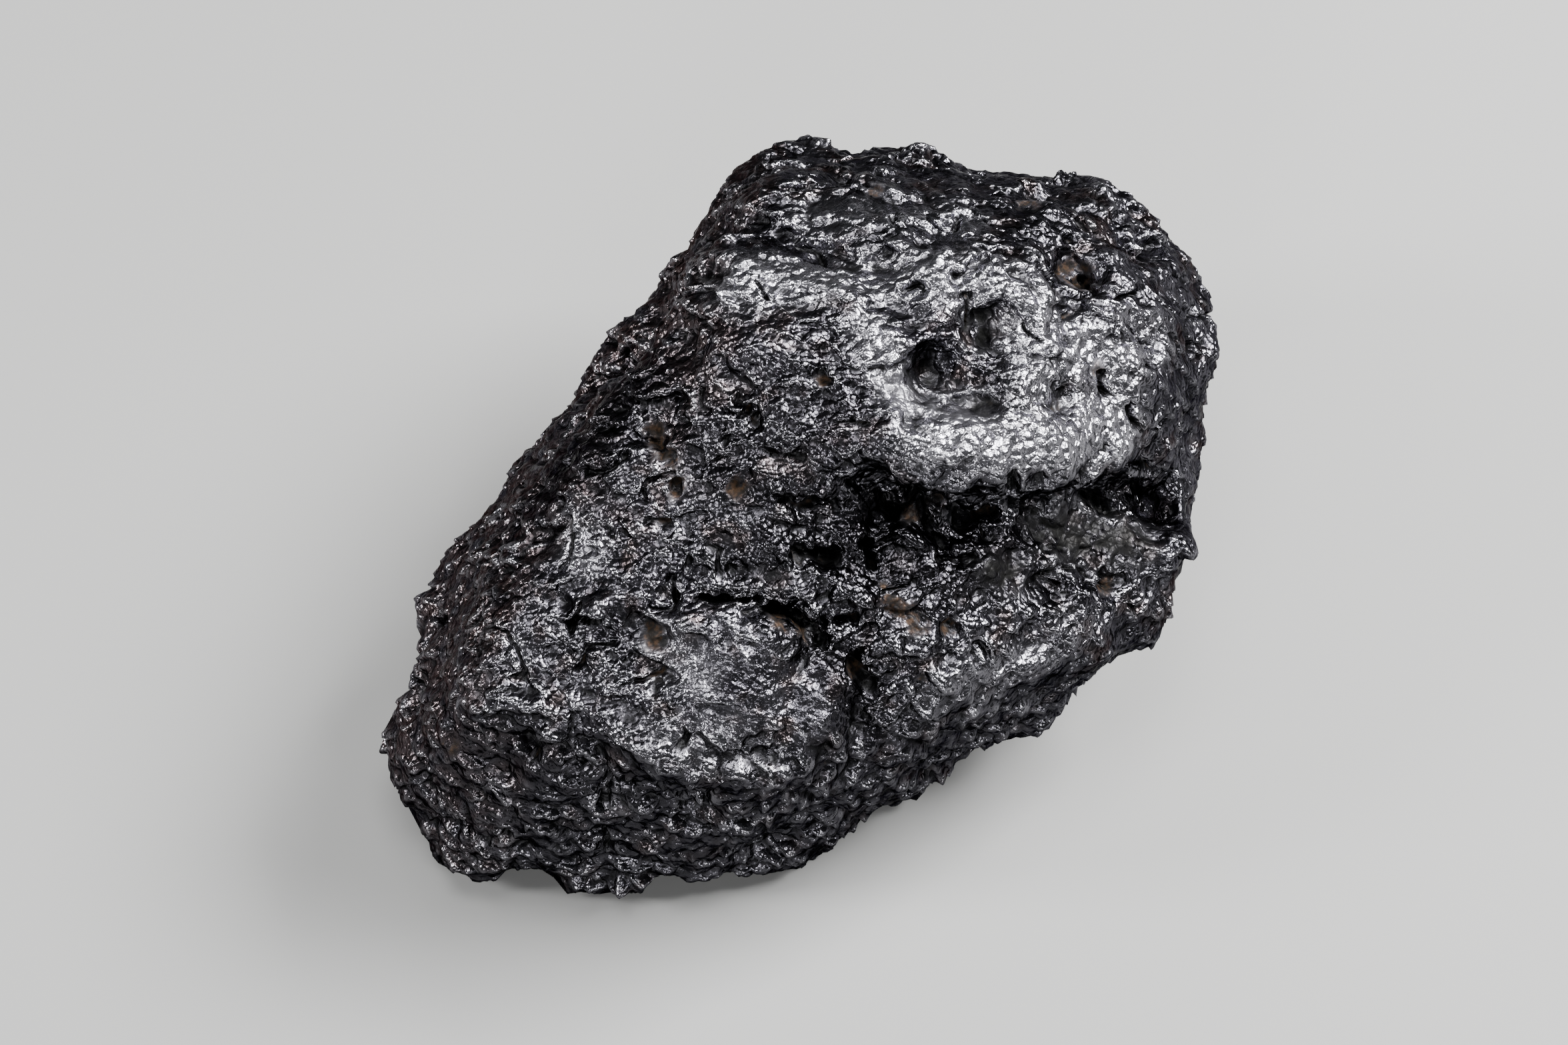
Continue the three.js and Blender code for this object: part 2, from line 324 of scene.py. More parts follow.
def bowl(width, *path):
    """1 along the path and 0 half a width away, with a soft and slightly ragged edge."""
    return 1 - between(0.1, 1, (gap_to(path) + 0.6 * wobble) / (width / 2))


def cut(width, *path):
    """As bowl, with a steeper wall, an uneven floor and a torn edge."""
    gap = gap_to(path) + wobble
    return (1 - between(0.35, 1.05, gap / (width / 2))) * (0.85 + 0.3 * wobble)


height = np.zeros(len(points))  # millimetres out of the skin
sag = np.zeros(len(points))  # millimetres down the face


def press(depth, width, *path):
    """Cuts a torn mark into the skin."""
    height[:] -= depth * cut(width, *path)


def dent(depth, width, *path):
    """Presses a soft mark into the skin."""
    height[:] -= depth * bowl(width, *path)


def lift(rise, width, *path):
    """Raises the skin softly."""
    height[:] += rise * bowl(width, *path)


def overhang(drop, width, *path):
    """Lets the skin sag down the face."""
    sag[:] += drop * bowl(width, *path)


print("edges of marks wobble by up to", round(float(np.abs(wobble).max()), 1), "mm")


# %% [markdown]
# The brow overhangs the body. Its edge stands out a little and sags straight down the face, more in
# some places than in others. The brow above it is thickest along the edge, like a wedge, which tips
# its front up towards the light.

# %% The brow's edge
brow_edge = (16, 9), (24, 7.5), (33, 7.5), (41, 8.5), (49, 11)
overhang(1.8, 13, *brow_edge)
lift(0.5, 8, *brow_edge)
sag *= 1 + 0.9 * noise(place, 4.0, 3.3)
WEDGE = 0.14  # how much thicker the brow gets with each millimetre towards its edge
HINGE = 13  # how far up the face it stays as thick as it was; above that it gets thinner
height += WEDGE * (HINGE - place[:, 1]) * bowl(26, (20, 14), (46, 15))
print("the brow sags by up to", round(float(sag.max()), 1), "mm")

# %% [markdown]
# The metal under the edge is torn: a slot at the right that a coin would go into, crevices that run
# up into the edge, and caves at the left with a rusty lump between them.

# %% The slot, the crevices and the caves
press(3.5, 3.0, (43.2, 2.7), (48, 2.2), (53, 2.6))
press(3.0, 3.0, (51.2, 6.8), (53.4, 6.2))
press(2.4, 1.8, (51.5, 4.8), (51.2, 2.8))
press(2.8, 2.4, (32.6, 7.4), (31.9, 5.6), (32, 3))
dent(1.0, 3.2, (36.4, 7.2))
press(2.2, 1.5, (46.8, 11.8), (43.6, 8), (43.1, 5))
press(1.6, 1.7, (39.7, 3.6), (41, 3.7))
press(2.2, 1.8, (32.5, 1.4), (36.2, 0.6))
press(2.4, 2.0, (8.5, 4.4), (13.5, 1.2), (16.5, 1.8))
press(2.6, 2.2, (14.6, 5.0), (18, 2.0), (22, -2.4))
press(2.6, 2.4, (20.5, 1.8), (25, -0.4), (30, 0.6))
press(3.4, 2.8, (0.8, -5.0), (4, -4.8), (7.2, -5.2))
press(3.2, 2.2, (10.8, -3.4), (12, -6.4))
press(2.4, 3.2, (-2.6, 1.7), (1.2, 0.8), (5, 1.5))
press(2.4, 1.8, (21.5, -5.2), (27, -4.6))
lift(1.6, 5.5, (15.4, -1.5), (17.5, -2.8))
print("deepest mark so far:", round(-height.min(), 1), "mm")

# %% [markdown]
# The brow itself is beaten but whole. Its marks are shallow dents a finger would find, a few pits,
# and one thin seam at the right, where the brow meets the upright edge beside it.

# %% On the brow and the crown
seam = (47.2, 22.5), (46.9, 19.3), (48.8, 18.2), (51, 16.5), (52.5, 13.8), (52.9, 11), (52.7, 8)
press(2.4, 1.3, *seam)
dent(1.3, 6, (41, 18.4))
dent(1.7, 11, (20, 22), (28, 19.5))
press(1.8, 3.0, (3.8, 23), (4.4, 21.6))
dent(2.2, 8, (27.5, 28.6))
press(1.4, 2.6, (28.3, 27.2), (29.5, 26.4))
dent(2.0, 8.5, (42.5, 38.3))
press(1.2, 3.4, (43, 37.2))
dent(1.3, 7, (12, 32.5), (17, 30.5))
dent(1.6, 7, (-13, 38.5))
dent(1.4, 8, (-13, 43.5), (0, 42), (13, 38.5))
dent(1.2, 6, (34, 47.5))
press(1.4, 2.2, (55, 29), (54.5, 24))
press(1.2, 2.0, (24.5, 38), (29, 40.5))
dent(1.2, 6, (52, 34))
press(1.5, 1.5, (-10.5, 18.5), (-7.5, 15.5))
press(1.3, 1.4, (-4, 10.5), (0.5, 8.2))
print("deepest mark so far:", round(-height.min(), 1), "mm")

# %% [markdown]
# On the body a thin ledge hangs over a smooth dome, and dies into a rusty groove.

# %% The ledge, the dome and the groove
press(1.8, 1.6, (-19.8, -10.8), (-18.2, -11))
press(2.6, 1.5, (-14.2, -10.8), (-9.5, -11), (-5.2, -11.2))
press(3.2, 3.0, (-4, -12), (-1, -13.4), (2, -15.8), (4.5, -18.2))
press(3.0, 2.0, (6, -15.4), (8.8, -16))
ledge = (-15, -9.4), (-5, -9.6), (0, -11), (4.5, -13.2)
lift(0.6, 3.2, *ledge)
overhang(1.0, 5, *ledge)
press(2.8, 3.0, (8.8, -21.2), (9.8, -24), (10.6, -26.6))
dent(1.4, 5, (9.6, -28), (9.8, -32))
dent(1.3, 7.5, (-22.2, -16.8))
dent(1.3, 6.5, (-22.3, -23))
press(1.0, 1.4, (-22.2, -24.4))
lift(1.6, 6, (-33.6, -12.4), (-31.4, -13.2))
press(2.2, 1.5, (-34.4, -15), (-31, -16.2), (-28.8, -15.2))
press(2.2, 3.6, (46.8, -7.6), (48.8, -9))
dent(1.3, 9, (33, -8), (39, -9.5))
press(1.6, 1.5, (38.5, -7), (42, -6), (44.2, -7.4))
dent(1.0, 5, (23.7, -16.5))
dent(1.0, 5, (19.5, -25))
print("deepest mark so far:", round(-height.min(), 1), "mm")

# %% [markdown]
# The shin has a raised ridge. Below it the metal ran in drops before it set, so each mark there is
# a slanting drop with a crease along its lower side. The last few are pits and dents of the toe and
# the left flank.

# %% The shin and the left flank
shin_ridge = [
    (-51, -28.6), (-45, -27.6), (-34, -28.6), (-29, -31),
    (-22, -36), (-15, -38.6), (-6, -39.6), (1, -38),
]
lift(1.3, 6, *shin_ridge)
dent(1.9, 13, (-47, -36.5), (-40, -36), (-32, -37.5), (-25, -41.5), (-17, -45.5))
shin_drops = [
    (-42.5, -34.7), (-34.2, -35), (-38, -31.8), (-47, -33.5), (-29, -37.5), (-50.5, -38.5),
]
for right, up in shin_drops:
    lift(1.0, 2.8, (right, up), (right + 3.2, up - 2.5))
    press(0.9, 1.2, (right - 0.6, up - 1.9), (right + 2.6, up - 4.3))
dent(1.2, 5, (-57, -38.6), (-56.6, -41))
press(1.6, 3.6, (-22.5, 13), (-21, 10.5))
press(1.4, 3.0, (-19.5, 5))
dent(1.2, 5, (-10, 4))
print("deepest mark so far:", round(-height.min(), 1), "mm")

# %% [markdown]
# The hem, the lowest edge towards the eye, is ragged. Small slits and pits run along it, and
# between flakes it is bitten away. The same kind of mark sets the outline right where the packed
# solid is a little too full, and the last three raise it where it is too lean.

# %% Along the hem and round the outline
slits = [  # each a depth, a width and a path
    (2.2, 3.4, (-47.5, -49.2)), (2.4, 1.3, (-44.3, -46.8), (-44.2, -49.2)),
    (2.2, 2.0, (-40.2, -47.3)), (2.6, 1.4, (-29.5, -40.2), (-29.4, -43.5)),
    (1.8, 1.4, (-20.6, -40.8), (-20.4, -42)), (3.2, 1.9, (-14.2, -41.5), (-14.2, -43.2)),
    (2.2, 1.4, (-1.8, -41.4), (2.8, -43)), (1.8, 1.6, (-26, -47.5), (-21, -48.5)),
    (1.6, 1.6, (-9.5, -46.5), (-5.5, -45.5)),
]
bites = [
    (4.6, 15, (-29, 22.5), (-20.5, 32.5)), (3.4, 9, (-17, 37.5)), (3.0, 8, (58, 13.8)),
    (2.8, 9, (53, 42)), (1.6, 8, (8, -44.5)), (2.8, 7, (-21, -51.5)), (3.2, 6, (-34, -52.5)),
    (2.0, 6, (-42, -50.5)), (3.6, 8, (36, -30)), (1.6, 10, (20, -39), (26, -35)),
    (3.2, 9, (-59, -26)),
]
for slit in slits:
    press(*slit)
for bite in bites:
    dent(*bite)
lift(3.4, 4.5, (-27, -55.5))
lift(1.8, 7, (18, 56))
lift(1.6, 8, (-56.5, -12))
print("deepest mark:", round(-height.min(), 1), "mm; highest:", round(height.max(), 1), "mm")

# %% [markdown]
# ## The hammered skin
#
# Nothing on such a stone is smooth, but its roughness comes in layers: swells and dents of a
# finger's breadth, on them plates with a cliff along one side, on the plates drops and beads no
# bigger than a lentil, and thin crevices through it all. Each layer is a pattern of its own. The
# patterns are looked up at slightly shifted places, which bends their straight lines, and are
# drawn out along the way the metal once flowed.

# %% Bent and drawn-out places
FLOW = np.array([0.86, -0.42, 0.28])  # the way the metal is drawn out, on the face
STRETCH = 0.3  # 0 leaves a pattern round, and towards 1 it grows ever longer
bend = np.stack([noise(place, 7, s) for s in (1.3, 2.7, 3.9)], axis=1)
fine_bend = np.stack([noise(place, 2.6, s) for s in (4.3, 5.7, 6.9)], axis=1)


def drawn_out(where, way, share):
    """Places squeezed along a way, so that a pattern looked up there comes out stretched."""
    return where - np.outer(where @ way, way) * share


grain = drawn_out(place + bend + 0.3 * fine_bend, FLOW, STRETCH)
print("places are bent by up to", round(float(np.abs(bend).max()), 1), "mm")

# %% [markdown]
# The skin isn't the same all over. The brow and the crown are worn: their beads are rubbed down and
# shine. Their lighter colour is partly wear and partly painted sheen, and the same mask lightens a
# few other patches as painted sheen. The dome is calm and silky. Elsewhere there are quarters where
# the plates have broken apart, and below the shin's ridge the metal ran once more before it set.
# Each of these is a mask from 0 to 1. The carving uses them all, and the material some.

# %% Where the skin differs


def painted(*strokes):
    """The strongest of several strokes, each a strength, a width and a path over the face."""
    return np.max([strength * bowl(width, *path) for strength, width, *path in strokes], axis=0)


dome = (-12, -22), (0, -28)
silky = bowl(26, *dome)
calm = np.maximum(bowl(30, (24, 14), (44, 17)), silky)
# wear, and painted sheen: the strokes also lighten patches that should look lit
worn = painted(
    (1, 20, (22, 14), (34, 12), (48, 14)),
    (1, 15, (-10, 37), (5, 38), (15, 37.5), (24, 37), (32, 36), (37, 30), (37, 24)),
    (1, 11, (10, 30), (14, 23), (19, 15)), (1, 16, (40, 27), (50, 24)),
    (0.6, 12, (47, 33), (55, 27)), (0.4, 14, (2, 46), (24, 46)), (0.6, 18, (24, -28), (38, -24)),
    (0.4, 12, (42, -17)), (0.4, 12, (-36, -1), (-33, -4)), (0.4, 12, (-19, -34), (-9, -35)),
    (0.3, 10, (-19, -19), (-16, -24)),
)
broken = between(-0.3, 0.3, noise(place, 15, 4.4)) * (1 - 0.8 * calm)
below_ridge = between(-22, -30, place[:, 1])
front = between(0.1, 0.5, -normals @ UP) * below_ridge  # where the shin looks down
edge = 1 - between(0.05, 0.5, np.abs(facing))  # where the skin turns away and makes the outline
print("share of the skin that is worn:", round(float(worn.mean()), 2))
print("share of the skin that is broken:", round(float(broken.mean()), 2))

# %% [markdown]
# A plate is a cell of the second pattern with a slope across it. Where two slopes meet at
# different heights there is a cliff, and because most slopes rise towards the stone's lower
# edge, most cliffs face down and lie in their own shade. Plates stand out most where the skin is
# broken.

# %% Plates


def plates(where, size, shift):
    """Sloping plates about this many millimetres across, from about -0.5 to 0.5."""
    near, far, way, own = cells(where, size, shift)
    towards_hem = -way[:, 1]
    own_slope = (way * SLOPES[own]).sum(axis=1)
    inside = between(0, 0.12, far - near)  # falls to 0 at the plate's border
    return (0.8 * towards_hem + 0.7 * own_slope) * inside


large_plates = (0.3 + broken) * plates(grain, 5.4, 1.9)
small_plates = (0.55 - 0.3 * calm) * plates(grain, 2.7, 3.1)
print("plates reach up to", round(large_plates.max() + small_plates.max(), 1), "mm")

# %% [markdown]
# Drops and beads are cells too, with a round top instead of a slope. Drops lie close where the
# metal ran, drawn out along its way, and are sprinkled over the broken skin. Beads are smaller, and
# lie everywhere.

# %% Drops and beads
RUN = np.array([0.86, -0.48, 0.17])  # the way the metal ran below the shin's ridge


def drops(where, size, shift):
    """Round-topped drops about this many millimetres across, some high, some low, from 0 to 1."""
    near, _, _, own = cells(where, size, shift)
    return (0.35 + 0.65 * SEEDS[own, 0]) * (1 - np.minimum(near / 0.75, 1) ** 2)


run = drawn_out(place, RUN, 0.62) + 0.5 * fine_bend
ran = 1.5 * front * (1 - 0.5 * edge) * drops(run, 2.5, 4.9)
sprinkled = 1.1 * (1 - calm) * (1 - front) * (1 - 0.6 * edge) * (0.4 + 0.6 * broken)
sprinkled *= drops(grain, 4.4, 2.6)
near, _, _, _ = cells(place + 0.25 * fine_bend, 1.7, 5.5)
beads = (0.34 - 0.2 * silky) * (1 - np.minimum(near / 0.8, 1) ** 2)
print("drops stand up to", round(max(ran.max(), sprinkled.max()), 1), "mm")

# %% [markdown]
# The widest layers are swells, and dents at every third of the seeds' numbers. The finest is a
# rumple that the worn places have lost by half. All the layers are added up.

# %% Swells, dents and the sum
swells = 0.7 * noise(place, 13, 0.3) + 0.7 * noise(grain, 6.5, 0.9)
near, _, _, own = cells(place + 1.2 * bend, 8.5, 0.7)
dents = -1.1 * (1 - between(0, 0.6, near)) * (own % 3 == 0)
rumple = (1 - 0.5 * worn) * (0.13 * noise(place, 1.9, 7.7) + 0.08 * noise(place, 1.2, 6.1))
layers = swells + dents + (large_plates + small_plates) + beads + rumple + ran + sprinkled
print("layers reach from", round(layers.min(), 1), "to", round(layers.max(), 1), "mm")

# %% [markdown]
# Crevices and pits are cut through all of that. A crevice runs where a smooth noise crosses zero,
# because that happens along thin lines that wander far, and a second noise breaks the lines up. A
# pit is the middle of a cell, at every fifth of the seeds' numbers.

# %% Crevices and pits
crevice = 1 - between(0.02, 0.09, np.abs(noise(grain, 7, 9.4)))
crevice *= between(0.15, 0.4, noise(place + bend, 6, 2.2))
near, _, _, own = cells(place + 0.9 * fine_bend, 5.6, 8.8)
pits = (own % 5 == 0) * (1 - between(0.05, 0.24, near + 0.08 * wobble))
layers -= (1 - 0.6 * calm) * (1.2 * crevice + 1.1 * pits)
print("share of the skin in crevices:", round(float(crevice.mean()), 3))
print("share of the skin in pits:", round(float(pits.mean()), 3))

# %% [markdown]
# Where the stone turns away from the eye, its skin makes the outline. Round drops would scallop it
# evenly, so they are weaker there. Plates tear it into flakes instead, most of all along the hem,
# the lowest edge. On the flat that the stone rests on, all layers fade.

# %% Ragged edge, quiet foot
hem = edge * between(-30, -45, place[:, 1] + 0.25 * place[:, 0])  # it climbs to the left
layers += (0.5 * edge + 0.7 * hem) * plates(place + fine_bend, 4.2, 6.3)
FOOT = 2.5  # millimetres above the table over which the carving fades in
QUIET = 0.25  # the share of the layers that is left on the flat
SINK = 0.6  # millimetres the whole skin is let in, because peaks set the outline
foot = between(0, FOOT, points[:, 2] / MM)
height = height + layers * (QUIET + (1 - QUIET) * foot) - SINK
print("height reaches from", round(height.min(), 1), "to", round(height.max(), 1), "mm")

# %% [markdown]
# Pushing each point straight out gives round bumps. The stone's scales lean: their tops hang a
# little over the crease below them, which is why each one has a black line under it. So each
# point is also slid down the face by a share of how far it stands out of its surroundings, and
# the creases close under it. The brow's sag is added last.

# %% Push out and lean
LEAN = 0.45  # how far a point slides, against how far it stands out
LOWEST, HIGHEST = -1.5, 1.2  # millimetres out, past which the slide grows no more
WIDE, NARROW = 60, 8  # passes of blurring, for a wide and a narrow look around

proud = height - blurred(height, WIDE)
down = (normals @ UP)[:, None] * normals - UP  # down the face, but along the skin
slide = LEAN * np.clip(proud, LOWEST, HIGHEST)
shift = normals * height[:, None] + down * slide[:, None] - UP * sag[:, None]
carved = np.clip(points + MM * shift, *np.array(solid_box))  # nothing leaves the solid's box
print("carved box:", np.round(carved.min(0), 4), np.round(carved.max(0), 4))

# %% [markdown]
# The carved points and the old triangles make a mesh again. Numpy hands them over in whole arrays,
# which takes a moment where a loop over the points would take minutes.

# %% Make the stone's mesh
skin = bpy.data.meshes.new("meteorite_skin")
skin.vertices.add(len(carved))
skin.vertices.foreach_set("co", carved.reshape(-1))
skin.loops.add(triangles.size)
skin.loops.foreach_set("vertex_index", triangles.reshape(-1))
skin.polygons.add(len(triangles))
skin.polygons.foreach_set("loop_start", np.arange(0, triangles.size, 3))
skin.update(calc_edges=True)
skin.shade_smooth()
stone = bpy.data.objects.new("meteorite_skin", skin)
bpy.context.scene.collection.objects.link(stone)
print("carved skin:", len(skin.polygons), "triangles")

# %% [markdown]
# The colours and the gloss follow the relief: hollows hold rust, creases and hollows are darkened
# with dirt and painted shade, tops are rubbed bright, what looks down gets painted shade, and what
# looks left is stained. Other places differ for reasons of their own, and are painted: rust spots,
# a few hollows with soot and painted shade, and painted shade in the shelter of the brow, along the
# groove, on the left flank and under the shin's ridge.

# %% Rust, soot and painted shade
HALO = 1.3  # rust stains so many times wider than the spot it grows from
rusting = [  # each a width and a path
    (7.5, (42.5, 38)), (5, (34, 48.5)), (5, (-22.5, 13), (-21, 9)), (5, (-19.5, 5)),
    (4, (17.5, 0.6)), (5, (13.5, -10.5), (16, -13), (18.5, -15.5)), (5, (-22.2, -17)),
    (3.5, (-53, -34)), (4.5, (47.5, -9.5)), (4, (11, 50)), (5, (-10, 4)), (3.2, (19.2, -24.9)),
    (4, (23.7, -16.2)), (3.5, (9.5, -23.5)), (3, (4, 21.5)), (4, (-3, -14), (1.5, -17)),
    (3.5, (46, 23)),
]
rust_spots = painted(*((1, HALO * width, *path) for width, *path in rusting))
# soot, and painted shade in dark hollows under and on the brow
soot = painted(
    (1, 15, (39, -1.5), (50, -2)), (1, 8, (29.5, -7.5), (33, -8.5)), (0.8, 9, (27.5, 28.4)),
    (0.5, 11, (15, 21), (27, 18.5)), (0.6, 8, (-22.2, -16.8)),
)
# painted shade: darker paths in the shelter under the brow, along the groove, on the left flank,
# under the shin's ridge and in a few other places
film = painted(
    (1, 8, (17, 6), (24, 4.5), (31, 4.5)), (0.8, 12, (-12, 6), (2, 2), (14, 1)),
    (1, 16, (-2, -2), (8, -2), (24, -2), (34, -2)), (1, 18, (4, -4), (16, -8), (30, -7)),
    (1, 14, (-2, -14), (2, -17), (7, -20), (10, -28)), (0.7, 16, (12, -14), (22, -11)),
    (0.6, 15, (-16, 13), (-4, 13), (4, 14)), (0.7, 11, (3, 25), (6, 18)),
    (0.6, 12, (46, 2), (54, 2)), (0.9, 14, (40, -3), (50, -3)), (0.6, 12, (36, -10), (46, -10)),
    (0.9, 22, (-25, 21), (-31, 13), (-39, 5)), (0.6, 13, (-36, -18), (-28, -18)),
    (0.6, 14, (-12, -9), (-2, -9)), (0.75, 22, (-42, -37), (-24, -42)),
    (0.5, 9, (29, 24), (31, 19)), (0.5, 12, (38, 45), (34, 46)),
)
print("share of the skin near rust spots:", round(float((rust_spots > 0).mean()), 2))

# %% [markdown]
# All of it is written into the mesh, a number for every point, as values that the material can read
# by their names.

# %% Values for the material


def keep_in_skin(**kept_values):
    """Writes values into the mesh, each under its own name."""
    for name, values in kept_values.items():
        layer = skin.attributes.new(name, "FLOAT", "POINT")
        layer.data.foreach_set("value", values.astype(np.float32))


# painted shade: what looks down is given a darker colour, and the worn sheen is taken off it
looks_down = blurred(between(0.1, 0.75, -normals_of(carved) @ UP), NARROW)
fine_proud = height - blurred(height, NARROW)
left_side = between(-0.15, -0.5, normals @ RIGHT)
# the painted shade also goes where the shin looks down
keep_in_skin(
    rust_spots=rust_spots, soot=soot, film=np.maximum(film, 0.35 * front), looks_down=looks_down,
    proud=proud, fine_proud=fine_proud, left_side=left_side,
    worn=worn * (1 - looks_down), silky=silky, front=front,
)
print("values in the skin:", [a.name for a in skin.attributes if a.data_type == "FLOAT"])

# %% [markdown]
# Six hundred thousand triangles are three times what this stone may keep. Blender's Decimate
# modifier folds up the edges that matter least, so flat plates lose triangles and cliffs keep
# theirs. A vertex group makes it take more of them from the side that lies away from the eye.

# %% Thin out the triangles
BUDGET = 190_000
SPARED = 0.8  # how readily the face gives triangles, against 1 for the rest
TURNED_AWAY = -0.15  # facing is 1 towards the eye and -1 away; from here down it is out of sight

hidden = facing <= TURNED_AWAY
group = stone.vertex_groups.new(name="gives_way")
group.add(np.flatnonzero(hidden).tolist(), 1.0, "REPLACE")
group.add(np.flatnonzero(~hidden).tolist(), SPARED, "REPLACE")
thinning = stone.modifiers.new("thin", "DECIMATE")
thinning.ratio = BUDGET / len(triangles)
thinning.vertex_group = group.name
bpy.context.view_layer.update()
evaluated = stone.evaluated_get(bpy.context.evaluated_depsgraph_get())
thinned = bpy.data.meshes.new_from_object(evaluated)
stone.modifiers.clear()
stone.vertex_groups.clear()
stone.data = thinned
thinned.shade_smooth()
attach(stone, "root")
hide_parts("meteorite")
print("stone:", len(thinned.polygons), "triangles")

# %% [markdown]
# ## Shader maths that reads as maths
#
# A material in Blender is a graph of nodes. Written call by call it is hard to follow, so one
# small class wraps a node's output and lets it be added, taken away and multiplied as a number
# would be. Each operator adds the Math node that does it.

# %% A wrapped socket
class Wire:
    """The output of a node, with the operators that masks and patterns need."""

    def __init__(self, tree, socket):
        self.tree, self.socket = tree, socket

    def node(self, kind, settings=None, output=0, **inputs):
        """Adds a node, sets its settings and then its sockets, and wraps one of its outputs.

        A socket goes by its name, or by its number as in i0, where several share a name.
        """
        made = self.tree.nodes.new(kind)
        for name, value in (settings or {}).items():
            setattr(made, name, value)
        for name, value in inputs.items():
            socket = made.inputs[int(name[1:]) if name[1:].isdigit() else name]
            if isinstance(value, Wire):
                self.tree.links.new(value.socket, socket)
            else:
                socket.default_value = value
        return Wire(self.tree, made.outputs[output])

    def maths(self, operation, first, second):
        """Adds a Math node for two values."""
        return self.node("ShaderNodeMath", {"operation": operation}, i0=first, i1=second)

    def __add__(self, other):
        return self.maths("ADD", self, other)

    def __sub__(self, other):
        return self.maths("SUBTRACT", self, other)

    def __rsub__(self, other):
        return self.maths("SUBTRACT", other, self)

    def __mul__(self, other):
        return self.maths("MULTIPLY", self, other)

    __radd__ = __add__
    __rmul__ = __mul__

    def over(self, low, high):
        """0 below low, 1 above high, and a smooth rise between."""
        return self.node(
            "ShaderNodeMapRange", {"interpolation_type": "SMOOTHSTEP"}, i0=self, i1=low, i2=high
        )

    def tint(self, low, high):
        """A colour that goes from low to high as this value goes from 0 to 1."""
        return self.node("ShaderNodeMix", {"data_type": "RGBA"}, output=2, i0=self, i6=low, i7=high)


print("a Wire can", [n for n in vars(Wire) if not n.startswith("__")])

# %% [markdown]
# ## Dark iron that glints
#
# Nickel-iron under its dark skin is still a metal: it mirrors lamps, but gives back less than a
# tenth of their light, and four tenths where it is rubbed. Painted iron shows one broad sheen. This
# iron glitters, because its skin is set with beads too fine for the mesh, and each bead is a small
# mirror with its own image of the lamp. So the gloss is high, and the beads are bump.

# %% An empty material
iron = bpy.data.materials.new("meteorite_iron")
iron.use_nodes = True
tree = iron.node_tree
tree.nodes.clear()
surface = tree.nodes.new("ShaderNodeOutputMaterial")
metal = tree.nodes.new("ShaderNodeBsdfPrincipled")
tree.links.new(metal.outputs[0], surface.inputs[0])
where = Wire(tree, tree.nodes.new("ShaderNodeTexCoord").outputs["Object"])


def grains(size, detail=2.0, distortion=0.0):
    """Noise from 0 to 1 with grains this many millimetres across."""
    scale = 1 / (size * MM)
    return where.node(
        "ShaderNodeTexNoise", Vector=where, Scale=scale, Detail=detail, Distortion=distortion
    )


def kept(name):
    """A value that was written into the skin."""
    return where.node("ShaderNodeAttribute", {"attribute_name": name}, output=2)


print("empty material:", len(tree.nodes), "nodes")

# %% [markdown]
# First come the patterns. Each is a number from 0 to 1 at every place of the skin. Most are a value
# that was written into the skin, broken up by grains, so that no pattern ends in a clean line.

# %% Patterns
sheen_and_wear, silk, run_front = kept("worn"), kept("silky"), kept("front")
# hollows and creases darken the colour below with dirt and painted shade; hollows also hold rust
hollow = 1 - kept("proud").over(-1.3, 0.0)
crease = 1 - kept("fine_proud").over(-0.32, -0.02)
rubbed = kept("fine_proud").over(0.0, 0.25)
dull = (1 - kept("proud").over(-0.7, 0.3)) * grains(4.0).over(0.38, 0.56) * (1 - sheen_and_wear)
# soot, and painted shade in dark hollows
sooty = kept("soot") * grains(2.0, 3.0).over(0.3, 0.55)
stained = kept("left_side") * grains(4.0, 3.0).over(0.3, 0.6)
rusty = kept("rust_spots") * grains(2.2, 4.0).over(0.36, 0.56)
rusty = rusty + hollow * grains(6.0, 3.0).over(0.55, 0.68) * 0.7
rusty = rusty.over(0.15, 0.9)
print("patterns:", len(tree.nodes), "nodes")

# %% [markdown]
# The colours of iron are few: greys with a breath of blue where it is metal, near black for dirt,
# soot and painted shade, and brown where it stains or rusts. Each has its name here.

# %% Colours of iron, painted shade and rust
DARK_IRON = (0.048, 0.046, 0.054, 1)
LIGHT_IRON = (0.088, 0.085, 0.098, 1)
BROWN_STAIN = (0.070, 0.046, 0.038, 1)
FLANK_STAIN = (0.066, 0.047, 0.046, 1)
# wear and painted sheen
WORN_SHEEN_IRON = (0.36, 0.353, 0.385, 1)
RUBBED_IRON = (0.42, 0.415, 0.45, 1)
DULL_IRON = (0.030, 0.029, 0.033, 1)
# painted shade, for what looks down
UNLIT_IRON = (0.020, 0.020, 0.023, 1)
# painted shade, for the sheltered places
PAINTED_SHADE_IRON = (0.020, 0.019, 0.022, 1)
# dirt and painted shade in creases and hollows
CREASE_DIRT_AND_SHADE = (0.012, 0.012, 0.013, 1)
HOLLOW_DIRT_AND_SHADE = (0.010, 0.010, 0.010, 1)
# soot and painted shade
SOOT_AND_SHADE = (0.012, 0.012, 0.011, 1)
OLD_RUST = (0.008, 0.006, 0.004, 1)
FRESH_RUST = (0.045, 0.025, 0.013, 1)
print("rubbed iron gives back", round(RUBBED_IRON[1] / LIGHT_IRON[1], 1), "times as much light")

# %% [markdown]
# The colour starts as dark iron, uneven over a finger's breadth. Stains come next, so that the
# rubbed tops over them are clean metal again. Worn places are lightened, partly wear and partly
# painted sheen. After those come the dark tints that lie on everything: painted shade on what
# looks down and in sheltered places, dirt and painted shade in creases and hollows, soot with
# painted shade, and the rust last. Each line tints the colour so far by one pattern.

# %% Colour
bare = grains(8.0, 4.0).over(0.35, 0.65).tint(DARK_IRON, LIGHT_IRON)
bare = (grains(5.0, 4.0).over(0.5, 0.68) * (1 - sheen_and_wear) * 0.5).tint(bare, BROWN_STAIN)
bare = (stained * 0.8).tint(bare, FLANK_STAIN)
